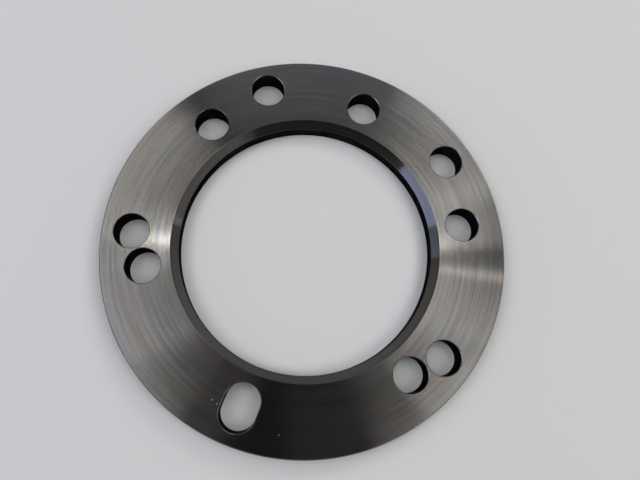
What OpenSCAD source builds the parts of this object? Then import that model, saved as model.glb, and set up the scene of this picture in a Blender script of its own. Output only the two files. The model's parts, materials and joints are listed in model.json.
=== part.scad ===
// Wheel spacer: one flat turned ring that is clamped between a wheel and its hub.
// The plain back face lies on z = 0, the bore axis is Z and the bevelled front face looks up.

/* [Ring] */
// Thickness from the back face to the front face
ring_t = 10; // [6:0.5:25]
// Metal left between the outer stud holes and the rim
rim_land = 5; // [3:0.5:15]
// Edge break round the rim, at both faces
rim_chamfer = 0.5; // [0.2:0.1:1]

/* [Hub bore] */
// Diameter of the bore that centres the ring on the hub
bore_d = 110.5; // [100:0.1:112]
// Wide bevel where the bore meets the front face
bore_bevel = 3.1; // [1:0.1:4]
// Edge break where the bore meets the back face
bore_chamfer = 0.5; // [0.2:0.1:1]

/* [Stud holes] */
// Diameter of every stud hole, which is also the width of the shared slot
stud_hole_d = 15; // [12:0.1:15.5]
// Edge break at both mouths of a stud hole
hole_chamfer = 0.25; // [0.1:0.05:0.5]
// Pitch circle of the inner stud pattern
inner_pcd = 139.7; // [136:0.1:144]
// Pitch circle of the outer stud pattern
outer_pcd = 150; // [146:0.1:156]
// Direction of the one stud position that both patterns share
shared_angle = -90; // [-180:5:180]

/* [Wear] */
// Width of the small dents on the front rims of two stud holes
nick_d = 1.4; // [1:0.1:2]
// Depth of those dents below the front face
nick_depth = 0.4; // [0.2:0.1:0.4]

/* [Hidden] */
$fn = 96;

// Stud counts of the two patterns
inner_studs = 6;
outer_studs = 5;
// How far every cutter runs past the face that it opens
past_face = 1;

bore_r = bore_d / 2;
hole_r = stud_hole_d / 2;
mouth_r = hole_r + hole_chamfer;
inner_r = inner_pcd / 2;
outer_r = outer_pcd / 2;
ring_r = outer_r + hole_r + rim_land;
inner_step = 360 / inner_studs;
outer_step = 360 / outer_studs;

// Dented holes of the outer pattern, each as [its step, the directions of its dents from its own radius]
NICKED_HOLES = [
    [1, [20, 63]],
    [2, [-49, 52, 68]]
];

// Section of the ring, turned about the bore axis
module ring_section() {
    polygon([
        [bore_r + bore_chamfer, 0],
        [ring_r - rim_chamfer, 0],
        [ring_r, rim_chamfer],
        [ring_r, ring_t - rim_chamfer],
        [ring_r - rim_chamfer, ring_t],
        [bore_r + bore_bevel, ring_t],
        [bore_r, ring_t - bore_bevel],
        [bore_r, bore_chamfer]
    ]);
}

// Half section of a stud hole: its wall with a flared mouth at each face
module hole_section() {
    polygon([
        [0, -past_face],
        [mouth_r + past_face, -past_face],
        [hole_r, hole_chamfer],
        [hole_r, ring_t - hole_chamfer],
        [mouth_r + past_face, ring_t + past_face],
        [0, ring_t + past_face]
    ]);
}

// Round stud hole at a radius and at an angle from the shared direction
module stud_hole(radius, angle) {
    rotate([0, 0, angle])
    translate([radius, 0, 0])
    rotate_extrude()
    hole_section();
}

// Radial slot that joins the two stud holes of the shared direction
module shared_slot() {
    stud_hole(inner_r, 0);
    stud_hole(outer_r, 0);
    translate([inner_r, 0, 0])
    rotate([90, 0, 90])
    linear_extrude(outer_r - inner_r) {
        hole_section();
        mirror([1, 0]) hole_section();
    }
}

// Dent with sloping sides, centred on its own axis and open towards +Z
module nick() {
    translate([0, 0, -nick_depth])
    cylinder(
        d1 = nick_d - 2 * nick_depth,
        d2 = nick_d + 2 * past_face,
        h = nick_depth + past_face
    );
}

// Dents on the front rims of the nicked holes
module rim_nicks() {
    for (hole = NICKED_HOLES)
        rotate([0, 0, hole[0] * outer_step])
        translate([outer_r, 0, ring_t])
        for (direction = hole[1])
            rotate([0, 0, direction])
            translate([hole_r, 0, 0])
            nick();
}

module spacer_ring() {
    color([0.2, 0.2, 0.2])
    rotate([0, 0, shared_angle])
    difference() {
        rotate_extrude() ring_section();
        shared_slot();
        for (step = [1 : inner_studs - 1])
            stud_hole(inner_r, step * inner_step);
        for (step = [1 : outer_studs - 1])
            stud_hole(outer_r, step * outer_step);
        rim_nicks();
    }
}

spacer_ring();
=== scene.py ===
"""Wheel spacer: a black anodised ring with turned faces, on a pale floor under soft studio light."""

import json
import math

import bpy
from mathutils import Matrix, Vector


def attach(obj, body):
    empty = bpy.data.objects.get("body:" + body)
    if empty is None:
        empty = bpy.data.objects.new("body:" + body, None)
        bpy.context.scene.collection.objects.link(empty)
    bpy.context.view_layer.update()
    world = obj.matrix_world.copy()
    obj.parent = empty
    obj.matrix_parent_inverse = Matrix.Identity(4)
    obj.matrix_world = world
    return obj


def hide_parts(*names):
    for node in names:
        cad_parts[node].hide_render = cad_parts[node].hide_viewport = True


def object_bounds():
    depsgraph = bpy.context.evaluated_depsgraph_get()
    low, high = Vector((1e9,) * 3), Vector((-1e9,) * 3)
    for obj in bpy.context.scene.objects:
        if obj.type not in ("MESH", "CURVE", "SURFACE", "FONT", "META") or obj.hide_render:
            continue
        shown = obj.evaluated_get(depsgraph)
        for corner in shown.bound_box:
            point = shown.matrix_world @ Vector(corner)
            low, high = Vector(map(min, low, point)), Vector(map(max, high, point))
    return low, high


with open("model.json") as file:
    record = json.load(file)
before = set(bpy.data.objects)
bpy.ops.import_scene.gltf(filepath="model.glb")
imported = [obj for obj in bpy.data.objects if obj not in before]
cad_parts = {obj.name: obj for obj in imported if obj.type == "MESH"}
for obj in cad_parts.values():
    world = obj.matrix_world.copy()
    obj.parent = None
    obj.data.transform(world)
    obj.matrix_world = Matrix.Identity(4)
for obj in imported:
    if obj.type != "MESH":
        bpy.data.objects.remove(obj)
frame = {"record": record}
cad_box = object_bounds()

MM = 0.001

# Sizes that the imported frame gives
dims = {mount["name"]: mount["dims"] for mount in frame["record"]["mounts"]}
RING_R = max(abs(value) for corner in cad_box for value in corner.xy)
RING_T = cad_box[1].z
BORE_R = dims["hub_bore"]["r_mm"] * MM
BORE_WALL = dims["hub_bore"]["length_mm"] * MM
HOLE_R = dims["inner_stud_circle"]["hole_r_mm"] * MM
INNER_R = dims["inner_stud_circle"]["pcd_mm"] * MM / 2
OUTER_R = dims["outer_stud_circle"]["pcd_mm"] * MM / 2
INNER_STUDS = dims["inner_stud_circle"]["count"]
OUTER_STUDS = dims["outer_stud_circle"]["count"]

# Edge breaks, dents and the heading of the slot, as in the part's source
RIM_CHAMFER = 0.5 * MM
BORE_CHAMFER = 0.5 * MM
BORE_BEVEL = RING_T - BORE_WALL - BORE_CHAMFER
HOLE_CHAMFER = 0.25 * MM
NICK_D = 1.4 * MM
NICK_DEPTH = 0.4 * MM
SHARED_ANGLE = -90
NICKED_HOLES = {1: (20, 63), 2: (-49, 52, 68)}

# Small bare scratches on the front face, beside the slot
SCRATCHES = [(-11.4 * MM, -73.6 * MM), (-8.9 * MM, -74.3 * MM), (18.6 * MM, -76.2 * MM)]
SCRATCH_R = 0.3 * MM

# Fineness of the mesh
EDGE_SOFTNESS = 0.05 * MM
EDGE_STEPS = 4
RING_SEGMENTS = 360
HOLE_SEGMENTS = 96
NICK_SEGMENTS = 24

# How far a cutter runs past a face, and how wide its flare is there
PAST_FACE = 0.1 * MM
FLARE = 0.5 * MM

# How faces are told apart: by the upward and outward shares of their normals, and by their lean in degrees
LEVEL_RISE = 0.999
MOUTH_RISE_LOW = 0.5
MOUTH_RISE_HIGH = 0.9
BORE_WALL_SLOPE = -0.9
ROUND_SHARE = 0.995
BREAK_LEAN = 45
LEAN_MARGIN = 4

# Name of the mesh attribute that marks worn edges
EDGE_WEAR = "edge_wear"

# Range that a noise mostly keeps to, and the value where rubbing starts
NOISE_LOW = 0.3
NOISE_MIDDLE = 0.5
NOISE_HIGH = 0.7
RUB_START = 0.45

# Turned finish: how fine its marks, lines, arcs, tints and patches are, and how they run over the rim
TOOL_MARKS = 15000
FEED_LINES = 560
ARC_STRETCH = 320
ARC_NOISE = 2.0
TINT_STRETCH = 220
TINT_NOISE = 3.1
RUB_PATCHES = 260
RIM_STRETCH = 0.6

# Turned finish: depth of its marks, ranges of its tones, roughness and rubbing, and its bare metal
MARK_DEPTH = 0.0025 * MM
MARK_FILTER = 0.01
LINE_TONES = (0.45, 0.55)
ARC_TONES = (0.38, 0.62)
TURNED_ROUGHNESS = (0.127, 0.133)
TURNED_RUBBING = (0.0, 0.25)
SCRATCH_ROUGHNESS = 0.4
BARE_METAL = (0.38, 0.38, 0.39, 1)

# Turned finish: its tints, each with the noise value where it is reached
TINTS = (
    (0.30, (0.118, 0.123, 0.131)),
    (0.43, (0.132, 0.126, 0.120)),
    (0.52, (0.129, 0.129, 0.115)),
    (0.60, (0.138, 0.121, 0.119)),
    (0.70, (0.141, 0.128, 0.109)),
)

# Wall finish: how fine its rings and patches are, the depth of the rings, and its colours, kept very dark as
# painted shade in the bore and the holes
WALL_RINGS = 2500
WALL_PATCHES = 180
RING_DEPTH = 0.01 * MM
RING_FILTER = 0.1
SHADED_WALL_DARK = (0.020, 0.020, 0.021)
SHADED_WALL_LIGHT = (0.034, 0.034, 0.035)
WALL_EDGE_TINT = (0.15, 0.15, 0.15, 1)

# Wall finish: its roughness, and the rubbing, colour and change of roughness of its worn edges
WALL_ROUGHNESS = (0.40, 0.52)
WALL_RUB_END = 0.65
WALL_RUBBING = (0.25, 0.8)
RUBBED_WALL = (0.42, 0.42, 0.43, 1)
RUBBED_SMOOTHER = -0.27

# Floor, and the distances between which it fades into the horizon
FLOOR_HALF = 3.0
FLOOR_COLOUR = (0.6, 0.6, 0.59, 1)
FLOOR_ROUGHNESS = 0.9
FADE_START = 0.4
FADE_END = 1.8

# Brightness of the horizon and of the ceiling, and the rise of a ray where the one ends and the other starts
HORIZON = 0.55
CEILING = 0.045
HORIZON_END = 0.12
CEILING_START = 0.36

# Point overhead that the front face mirrors into the camera, and the step down from one softbox to the next
MIRROR_POINT = Vector((-0.037, 0.2265, 1.0))
LAMP_STEP = 0.0005

# Distance of the low lamps from the bore axis
LOW_LAMP_R = 2.0

# Colours of the lamps
WHITE = (1.0, 1.0, 1.0)
COOL = (0.92, 1.0, 1.12)
PALE_COOL = (0.98, 1.0, 1.06)
WINDOW_BLUE = (0.70, 0.80, 1.30)

# Camera as in the photo: its place, the point it looks at, and the heading that is upwards in the picture
CAMERA_PLACE = Vector((8.15, -49.89, 230.22)) * MM
CAMERA_TARGET = Vector((4.3, 4.0, 10.0)) * MM
CAMERA_UP = 111.7
LENS = 29.38
SENSOR = 36
CLIP_START = 0.01


def polar(radius, degrees, height=0.0):
    """Point at a radius and a heading from +X, in the part's frame."""
    angle = math.radians(degrees)
    return Vector((radius * math.cos(angle), radius * math.sin(angle), height))


def new_object(name, verts, faces):
    """Object with a mesh of these corners and faces."""
    mesh = bpy.data.meshes.new(name)
    mesh.from_pydata(verts, [], faces)
    mesh.validate()
    thing = bpy.data.objects.new(name, mesh)
    bpy.context.scene.collection.objects.link(thing)
    return thing


# The ring
def rounded_corner(before, corner, after):
    """Points of a short curve that takes the place of a corner."""
    start = corner + (before - corner).normalized() * EDGE_SOFTNESS
    end = corner + (after - corner).normalized() * EDGE_SOFTNESS
    steps = [i / EDGE_STEPS for i in range(EDGE_STEPS + 1)]
    return [(1 - t) ** 2 * start + 2 * t * (1 - t) * corner + t ** 2 * end for t in steps]


def turned_ring():
    """Ring without its stud holes: one outline turned about the bore axis."""
    corners = [Vector(point) for point in (
        (BORE_R + BORE_CHAMFER, 0),
        (RING_R - RIM_CHAMFER, 0),
        (RING_R, RIM_CHAMFER),
        (RING_R, RING_T - RIM_CHAMFER),
        (RING_R - RIM_CHAMFER, RING_T),
        (BORE_R + BORE_BEVEL, RING_T),
        (BORE_R, RING_T - BORE_BEVEL),
        (BORE_R, BORE_CHAMFER),
    )]
    outline = []
    for i, corner in enumerate(corners):
        outline += rounded_corner(corners[i - 1], corner, corners[(i + 1) % len(corners)])
    count = len(outline)
    verts = []
    faces = []
    for i in range(RING_SEGMENTS):
        heading = 360 * i / RING_SEGMENTS
        verts += [polar(point.x, heading, point.y) for point in outline]
        here = i * count
        there = (i + 1) % RING_SEGMENTS * count
        for j in range(count):
            k = (j + 1) % count
            faces.append((here + j, here + k, there + k, there + j))
    return new_object("spacer_ring_turned", verts, faces)


def lofted(name, loops):
    """Closed solid through loops of equal length, with a flat cap at each end."""
    count = len(loops[0])
    verts = [point for loop in loops for point in loop]
    faces = [tuple(range(count))[::-1]]
    for level in range(len(loops) - 1):
        low = level * count
        high = low + count
        for i in range(count):
            j = (i + 1) % count
            faces.append((low + i, low + j, high + j, high + i))
    last = (len(loops) - 1) * count
    faces.append(tuple(range(last, last + count)))
    return new_object(name, verts, faces)


def slot_loop(start, end, radius, height, segments):
    """Outline of a slot with end arcs about start and end, or a circle where they are one point."""
    along = (end - start).normalized() if (end - start).length else Vector((1, 0, 0))
    heading = math.degrees(math.atan2(along.y, along.x))
    loop = []
    for i in range(segments):
        turn = 360 * (i + 0.5) / segments - 90
        centre = end if turn < 90 else start
        loop.append(centre + polar(radius, heading + turn, height))
    return loop


def stud_cutter(start, end):
    """Tool that cuts one stud hole, or a slot from start to end, with a soft edge break at each face."""
    mouth = HOLE_R + HOLE_CHAMFER
    section = [Vector(point) for point in (
        (mouth + FLARE, -PAST_FACE),
        (mouth, 0),
        (HOLE_R, HOLE_CHAMFER),
        (HOLE_R, RING_T - HOLE_CHAMFER),
        (mouth, RING_T),
        (mouth + FLARE, RING_T + PAST_FACE),
    )]
    levels = [section[0]]
    for before, corner, after in zip(section, section[1:], section[2:]):
        levels += rounded_corner(before, corner, after)
    levels.append(section[-1])
    loops = [slot_loop(start, end, level.x, level.y, HOLE_SEGMENTS) for level in levels]
    return lofted("stud_cutter", loops)


def nick_cutter(centre):
    """Tool that dents the front face at a point."""
    levels = (
        (NICK_D / 2 - NICK_DEPTH, RING_T - NICK_DEPTH),
        (NICK_D / 2 + PAST_FACE, RING_T + PAST_FACE),
    )
    loops = [slot_loop(centre, centre, radius, height, NICK_SEGMENTS) for radius, height in levels]
    return lofted("nick_cutter", loops)


def stud_spans():
    """Start and end of every stud hole: they differ only for the slot that both patterns share."""
    spans = [(polar(INNER_R, SHARED_ANGLE), polar(OUTER_R, SHARED_ANGLE))]
    for radius, studs in ((INNER_R, INNER_STUDS), (OUTER_R, OUTER_STUDS)):
        for step in range(1, studs):
            centre = polar(radius, SHARED_ANGLE + step * 360 / studs)
            spans.append((centre, centre))
    return spans


def nick_centres():
    """Points on hole walls where the front rim is dented."""
    centres = []
    for step, directions in NICKED_HOLES.items():
        heading = SHARED_ANGLE + step * 360 / OUTER_STUDS
        for direction in directions:
            centres.append(polar(OUTER_R, heading) + polar(HOLE_R, heading + direction))
    return centres


def cut_away(body, cutters, name):
    """New object: body with every cutter taken out of it."""
    for cutter in cutters:
        cut = body.modifiers.new(cutter.name, "BOOLEAN")
        cut.operation = "DIFFERENCE"
        cut.solver = "EXACT"
        cut.object = cutter
    graph = bpy.context.evaluated_depsgraph_get()
    mesh = bpy.data.meshes.new_from_object(body.evaluated_get(graph))
    mesh.name = name
    result = bpy.data.objects.new(name, mesh)
    bpy.context.scene.collection.objects.link(result)
    for tool in [body, *cutters]:
        bpy.data.objects.remove(tool)
    return result


def nearest_on(span, point):
    """Point of a stud hole's centre line, or of a slot's, that lies nearest to a point of the ring."""
    start, end = span
    run = end - start
    if not run.length:
        return start
    share = (point.xy.to_3d() - start).dot(run) / run.length_squared
    return start + run * min(1.0, max(0.0, share))


def stud_hole_at(point, spans):
    """The stud hole whose wall or mouth holds a point, or None."""
    for span in spans:
        if (point - nearest_on(span, point)).xy.length < HOLE_R + HOLE_CHAMFER + EDGE_SOFTNESS:
            return span
    return None


def dress(mesh, spans):
    """Give each face its finish, its share of edge wear and the normals of the true round surface."""
    bore_axis = (Vector(), Vector())
    normals = [None] * len(mesh.loops)
    wear = mesh.attributes.new(EDGE_WEAR, "FLOAT", "FACE")
    for face in mesh.polygons:
        rise = face.normal.z
        hole = None if abs(rise) > LEVEL_RISE else stud_hole_at(face.center, spans)
        axis = hole or bore_axis
        outward = (face.center - nearest_on(axis, face.center)).xy.to_3d().normalized()
        slope = face.normal.dot(outward)
        lean = math.degrees(math.atan2(rise, slope)) % BREAK_LEAN
        soft_edge = LEAN_MARGIN < lean < BREAK_LEAN - LEAN_MARGIN
        bore_wall = hole is None and slope < BORE_WALL_SLOPE
        hole_mouth = hole is not None and MOUTH_RISE_LOW < abs(rise) < MOUTH_RISE_HIGH
        face.use_smooth = True
        # Walls of the bore and the holes take the material whose very dark colour is painted shade
        face.material_index = int(hole is not None or bore_wall)
        wear.data[face.index].value = float(soft_edge or hole_mouth)
        round_face = math.hypot(slope, rise) > ROUND_SHARE
        for loop in face.loop_indices:
            point = mesh.vertices[mesh.loops[loop].vertex_index].co
            away = (point - nearest_on(axis, point)).xy.to_3d().normalized()
            true_normal = away * slope + Vector((0, 0, rise))
            normals[loop] = true_normal.normalized() if round_face else face.normal
    mesh.normals_split_custom_set(normals)


def spacer_ring(turned, shaded_inner_walls):
    """The whole ring, with its turned faces in one finish and the walls of its holes in the other, darkened
    with painted shade.
    """
    spans = stud_spans()
    cutters = [stud_cutter(start, end) for start, end in spans]
    cutters += [nick_cutter(centre) for centre in nick_centres()]
    ring = cut_away(turned_ring(), cutters, "spacer_ring_finish")
    ring.data.materials.clear()
    ring.data.materials.append(turned)
    ring.data.materials.append(shaded_inner_walls)
    dress(ring.data, spans)
    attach(ring, "root")
    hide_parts("spacer_ring")


# Shader nodes
def new_material(name):
    """Material with its node tree and its shader."""
    material = bpy.data.materials.new(name)
    material.use_nodes = True
    return material, material.node_tree, material.node_tree.nodes["Principled BSDF"]


def feed(tree, socket, value):
    """Join a socket to another one, or set it to a plain value."""
    if isinstance(value, bpy.types.NodeSocket):
        tree.links.new(value, socket)
    else:
        socket.default_value = value


def place_of(tree, kind):
    """Place of the shaded point, in one kind of texture coordinates."""
    return tree.nodes.new("ShaderNodeTexCoord").outputs[kind]


def axes_of(tree, place):
    """The three numbers of a place."""
    node = tree.nodes.new("ShaderNodeSeparateXYZ")
    tree.links.new(place, node.inputs["Vector"])
    return node.outputs


def vector_of(tree, x, y, z):
    """Vector from three numbers or sockets."""
    node = tree.nodes.new("ShaderNodeCombineXYZ")
    for socket, value in zip(node.inputs, (x, y, z)):
        feed(tree, socket, value)
    return node.outputs["Vector"]


def distance_of(tree, place, centre):
    """Distance of a place from a fixed point."""
    node = tree.nodes.new("ShaderNodeVectorMath")
    node.operation = "DISTANCE"
    tree.links.new(place, node.inputs[0])
    node.inputs[1].default_value = centre
    return node.outputs["Value"]


def math_of(tree, operation, *values):
    """Result of a math node."""
    node = tree.nodes.new("ShaderNodeMath")
    node.operation = operation
    for socket, value in zip(node.inputs, values):
        feed(tree, socket, value)
    return node.outputs["Value"]


def noise_of(tree, place, scale, detail):
    """Noise in one dimension where place is a number's socket, and in three where it is a vector's."""
    node = tree.nodes.new("ShaderNodeTexNoise")
    node.inputs["Scale"].default_value = scale
    node.inputs["Detail"].default_value = detail
    if place.type == "VECTOR":
        tree.links.new(place, node.inputs["Vector"])
    else:
        node.noise_dimensions = "1D"
        tree.links.new(place, node.inputs["W"])
    return node.outputs[0]


def spread(tree, value, low, high, to_low, to_high):
    """Value moved from one range to another, and held at its ends."""
    node = tree.nodes.new("ShaderNodeMapRange")
    for socket, number in zip(node.inputs, (value, low, high, to_low, to_high)):
        feed(tree, socket, number)
    return node.outputs["Result"]


def spread_noise(tree, noise, to_low, to_high):
    """Noise moved from the range that it mostly keeps to into another."""
    return spread(tree, noise, NOISE_LOW, NOISE_HIGH, to_low, to_high)


def ramp_of(tree, value, stops):
    """Colour from stops of position and colour."""
    node = tree.nodes.new("ShaderNodeValToRGB")
    elements = node.color_ramp.elements
    while len(elements) < len(stops):
        elements.new(1.0)
    for element, (position, colour) in zip(elements, stops):
        element.position = position
        element.color = (*colour, 1)
    tree.links.new(value, node.inputs["Fac"])
    return node.outputs["Color"]


def blend_of(tree, mode, share, first, second):
    """Two colours mixed in a blend mode."""
    node = tree.nodes.new("ShaderNodeMix")
    node.data_type = "RGBA"
    node.blend_type = mode
    feed(tree, node.inputs["Factor"], share)
    feed(tree, node.inputs["A"], first)
    feed(tree, node.inputs["B"], second)
    return node.outputs["Result"]


def edge_wear_of(tree):
    """1 on worn edges, and 0 elsewhere."""
    node = tree.nodes.new("ShaderNodeAttribute")
    node.attribute_name = EDGE_WEAR
    return node.outputs["Fac"]


def scratch_mask(tree, place):
    """1 on the short scratches of the front face, and 0 elsewhere."""
    mask = 0.0
    for centre in SCRATCHES:
        inside = math_of(tree, "LESS_THAN", distance_of(tree, place, (*centre, RING_T)), SCRATCH_R)
        mask = math_of(tree, "MAXIMUM", inside, mask)
    return mask


def cut_grooves(tree, shader, height, depth, filter_width):
    """Bump the surface of a shader by a height from 0 to 1 times a depth."""
    bump = tree.nodes.new("ShaderNodeBump")
    bump.inputs["Distance"].default_value = depth
    bump.inputs["Filter Width"].default_value = filter_width
    tree.links.new(height, bump.inputs["Height"])
    tree.links.new(bump.outputs["Normal"], shader.inputs["Normal"])


# Finishes
def turned_colour(tree, place, tints, feed_lines, long_arcs):
    """Black in slightly different tones and tints, with rubbed edges."""
    tint = ramp_of(tree, tints, TINTS)
    line_tone = spread_noise(tree, feed_lines, *LINE_TONES)
    arc_tone = spread_noise(tree, long_arcs, *ARC_TONES)
    tone = math_of(tree, "ADD", line_tone, arc_tone)
    colour = blend_of(tree, "MULTIPLY", 1.0, tint, vector_of(tree, tone, tone, tone))
    patches = noise_of(tree, place, RUB_PATCHES, detail=3)
    rubbing = spread(tree, patches, RUB_START, NOISE_HIGH, *TURNED_RUBBING)
    rubbed = math_of(tree, "MULTIPLY", edge_wear_of(tree), rubbing)
    return blend_of(tree, "MIX", rubbed, colour, BARE_METAL)


def turned_finish():
    """Black anodised lathe work: fine rings with arcs of slightly different tone, tint and gloss."""
    material, tree, shader = new_material("turned_black_anodised")
    place = place_of(tree, "Object")
    x, y, z = axes_of(tree, place)
    radius = math_of(tree, "SQRT", math_of(tree, "MULTIPLY_ADD", x, x, math_of(tree, "MULTIPLY", y, y)))
    across = math_of(tree, "MULTIPLY_ADD", z, RIM_STRETCH, radius)
    turn_x = math_of(tree, "DIVIDE", x, radius)
    turn_y = math_of(tree, "DIVIDE", y, radius)
    arc_place = vector_of(tree, turn_x, turn_y, math_of(tree, "MULTIPLY", across, ARC_STRETCH))
    tint_place = vector_of(tree, turn_x, turn_y, math_of(tree, "MULTIPLY", across, TINT_STRETCH))
    tool_marks = noise_of(tree, across, TOOL_MARKS, detail=0)
    feed_lines = noise_of(tree, across, FEED_LINES, detail=4)
    long_arcs = noise_of(tree, arc_place, ARC_NOISE, detail=3)
    tints = noise_of(tree, tint_place, TINT_NOISE, detail=2)
    scratched = scratch_mask(tree, place)
    colour = turned_colour(tree, place, tints, feed_lines, long_arcs)
    tree.links.new(blend_of(tree, "MIX", scratched, colour, BARE_METAL), shader.inputs["Base Color"])
    shader.inputs["Metallic"].default_value = 1.0
    gloss = spread_noise(tree, long_arcs, *TURNED_ROUGHNESS)
    roughness = math_of(tree, "MULTIPLY_ADD", scratched, SCRATCH_ROUGHNESS, gloss)
    tree.links.new(roughness, shader.inputs["Roughness"])
    shader.inputs["Anisotropic"].default_value = 1.0
    shader.inputs["Anisotropic Rotation"].default_value = 0.25
    tangent = tree.nodes.new("ShaderNodeTangent")
    tangent.direction_type = "RADIAL"
    tangent.axis = "Z"
    tree.links.new(tangent.outputs["Tangent"], shader.inputs["Tangent"])
    cut_grooves(tree, shader, tool_marks, MARK_DEPTH, MARK_FILTER)
    return material


def dull_wall_with_painted_shade():
    """Dull black anodised walls of the bore and the holes, with painted shade in their very dark colour:
    fine rings from the tool, and rubbed mouths.
    """
    material, tree, shader = new_material("dull_black_with_painted_shade")
    place = place_of(tree, "Object")
    rings = noise_of(tree, axes_of(tree, place)["Z"], WALL_RINGS, detail=3)
    patches = noise_of(tree, place, WALL_PATCHES, detail=3)
    tone = math_of(tree, "ADD", rings, math_of(tree, "SUBTRACT", patches, NOISE_MIDDLE))
    # The very dark tones are painted shade of the bore and hole walls
    colour = ramp_of(tree, tone, ((NOISE_LOW, SHADED_WALL_DARK), (NOISE_HIGH, SHADED_WALL_LIGHT)))
    wear = edge_wear_of(tree)
    rubbing = spread(tree, patches, RUB_START, WALL_RUB_END, *WALL_RUBBING)
    rubbed = math_of(tree, "MULTIPLY", wear, rubbing)
    tree.links.new(blend_of(tree, "MIX", rubbed, colour, RUBBED_WALL), shader.inputs["Base Color"])
    shader.inputs["Metallic"].default_value = 1.0
    shader.inputs["Specular Tint"].default_value = WALL_EDGE_TINT
    dullness = spread_noise(tree, patches, *WALL_ROUGHNESS)
    roughness = math_of(tree, "MULTIPLY_ADD", wear, RUBBED_SMOOTHER, dullness)
    tree.links.new(roughness, shader.inputs["Roughness"])
    cut_grooves(tree, shader, rings, RING_DEPTH, RING_FILTER)
    return material


# Floor, light and camera
def pale_floor():
    """Plain floor that fades into the pale horizon where it runs out of the lamps' reach."""
    half = FLOOR_HALF
    corners = [(-half, -half, 0), (half, -half, 0), (half, half, 0), (-half, half, 0)]
    floor = new_object("floor", corners, [(0, 1, 2, 3)])
    material, tree, shader = new_material("pale_floor")
    shader.inputs["Base Color"].default_value = FLOOR_COLOUR
    shader.inputs["Roughness"].default_value = FLOOR_ROUGHNESS
    path = tree.nodes.new("ShaderNodeLightPath").outputs
    seen = math_of(tree, "ADD", path["Is Camera Ray"], path["Is Glossy Ray"])
    seen = math_of(tree, "ADD", seen, path["Is Transmission Ray"])
    distance = distance_of(tree, place_of(tree, "Object"), (0, 0, 0))
    far = spread(tree, distance, FADE_START, FADE_END, 0.0, 1.0)
    horizon = tree.nodes.new("ShaderNodeEmission")
    horizon.inputs["Strength"].default_value = HORIZON
    fade = tree.nodes.new("ShaderNodeMixShader")
    tree.links.new(math_of(tree, "MULTIPLY", seen, far), fade.inputs[0])
    tree.links.new(shader.outputs["BSDF"], fade.inputs[1])
    tree.links.new(horizon.outputs["Emission"], fade.inputs[2])
    tree.links.new(fade.outputs["Shader"], tree.nodes["Material Output"].inputs["Surface"])
    floor.data.materials.append(material)


def studio_world():
    """Pale horizon all round, under a dark grey ceiling."""
    world = bpy.data.worlds.new("studio")
    world.use_nodes = True
    tree = world.node_tree
    rise = axes_of(tree, place_of(tree, "Generated"))["Z"]
    background = tree.nodes["Background"].inputs
    background["Color"].default_value = (*WHITE, 1)
    strength = spread(tree, rise, HORIZON_END, CEILING_START, HORIZON, CEILING)
    tree.links.new(strength, background["Strength"])
    bpy.context.scene.world = world


def area_lamp(name, length, width, radiance, colour):
    """Flat lamp that is equally bright all over, and that the camera doesn't see."""
    light = bpy.data.lights.new(name, "AREA")
    light.shape = "RECTANGLE"
    light.size = length
    light.size_y = width
    light.energy = radiance * math.pi * light.size * light.size_y
    light.color = colour
    lamp = bpy.data.objects.new(name, light)
    lamp.visible_camera = False
    bpy.context.scene.collection.objects.link(lamp)
    return lamp


def low_light(name, heading, height, width, rise, radiance, colour=WHITE):
    """Lamp beside the ring that faces it, low enough for the bevel and the hole mouths to catch it."""
    lamp = area_lamp(name, width, rise, radiance, colour)
    lamp.location = polar(LOW_LAMP_R, heading, height)
    lamp.rotation_euler = (-lamp.location).to_track_quat("-Z", "Y").to_euler()


def softbox(name, heading, near, far, across, width, radiance, colour=WHITE):
    """Lamp overhead, a little below the one before it, that runs outwards from the mirror point."""
    drop = Vector((0, 0, len(bpy.data.lights) * LAMP_STEP))
    lamp = area_lamp(name, far - near, width, radiance, colour)
    lamp.location = MIRROR_POINT - drop + polar((near + far) / 2, heading) + polar(across, heading + 90)
    lamp.rotation_euler = (0, 0, math.radians(heading))


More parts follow.
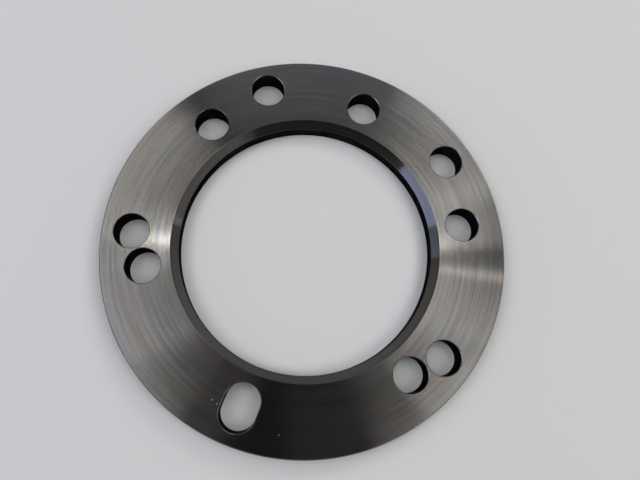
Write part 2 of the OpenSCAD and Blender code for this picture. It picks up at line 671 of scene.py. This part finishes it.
def lamps():
    """Low lamps beside the ring, softboxes left and right of the camera, and a dim one behind the ring."""
    low_light("window", 216.5, 0.785, 1.24, 0.73, 1.6, WINDOW_BLUE)
    low_light("window_side", 192, 0.60, 0.56, 0.6, 0.5, WINDOW_BLUE)
    low_light("right_reflector", 355, 0.70, 2.2, 0.6, 0.27)
    low_light("right_low_spot", 25.0, 0.50, 0.12, 0.4, 0.8)
    softbox("left_far", 169, 0.36, 1.25, 0.07, 0.38, 2.1)
    softbox("left_front_far", 227.5, 0.52, 1.30, 0.0, 0.62, 3.8, PALE_COOL)
    softbox("left_front_mid", 221, 0.28, 0.52, 0.0, 0.27, 1.1, PALE_COOL)
    softbox("right_far", 62.5, 0.57, 1.33, -0.02, 0.50, 5.0)
    softbox("right_mid", 51, 0.28, 0.48, 0.0, 0.24, 0.5)
    softbox("right_front_far", 342, 0.53, 1.30, -0.02, 0.66, 3.6)
    softbox("right_front_mid", 337, 0.36, 0.70, 0.0, 0.18, 1.0)
    softbox("left_near", 201, 0.04, 0.36, 0.0, 0.12, 1.3)
    softbox("right_near", 20.5, 0.05, 0.45, 0.085, 0.17, 2.0)
    softbox("right_front_near", 12.5, 0.06, 0.43, -0.08, 0.16, 2.15)
    softbox("right_gap", 16.5, 0.03, 0.42, 0.0, 0.03, 0.8)
    softbox("left_spot", 202.1, 0.06, 0.30, 0.0, 0.018, 22.0)
    softbox("right_spot", 19.5, 0.08, 0.22, 0.0, 0.015, 33.0)
    softbox("right_strip", 12.4, 0.28, 0.77, 0.0, 0.02, 2.4)
    softbox("left_front_edge", 254, 0.28, 1.20, 0.0, 0.24, 0.20)
    softbox("right_front_edge", 303, 0.28, 1.20, 0.0, 0.26, 0.08)
    softbox("back", 114, 0.29, 1.30, -0.15, 0.87, 0.57, COOL)


def photo_camera():
    """Camera at the photo's viewing angle."""
    forward = (CAMERA_TARGET - CAMERA_PLACE).normalized()
    right = forward.cross(polar(1, CAMERA_UP)).normalized()
    up = right.cross(forward)
    camera = bpy.data.cameras.new("photo_camera")
    camera.sensor_width = SENSOR
    camera.lens = LENS
    camera.clip_start = CLIP_START
    thing = bpy.data.objects.new("photo_camera", camera)
    turn = Matrix((right, up, -forward)).transposed().to_4x4()
    thing.matrix_world = Matrix.Translation(CAMERA_PLACE) @ turn
    bpy.context.scene.collection.objects.link(thing)
    bpy.context.scene.camera = thing


spacer_ring(turned_finish(), dull_wall_with_painted_shade())
pale_floor()
studio_world()
lamps()
photo_camera()
bpy.context.scene.view_settings.view_transform = "Standard"
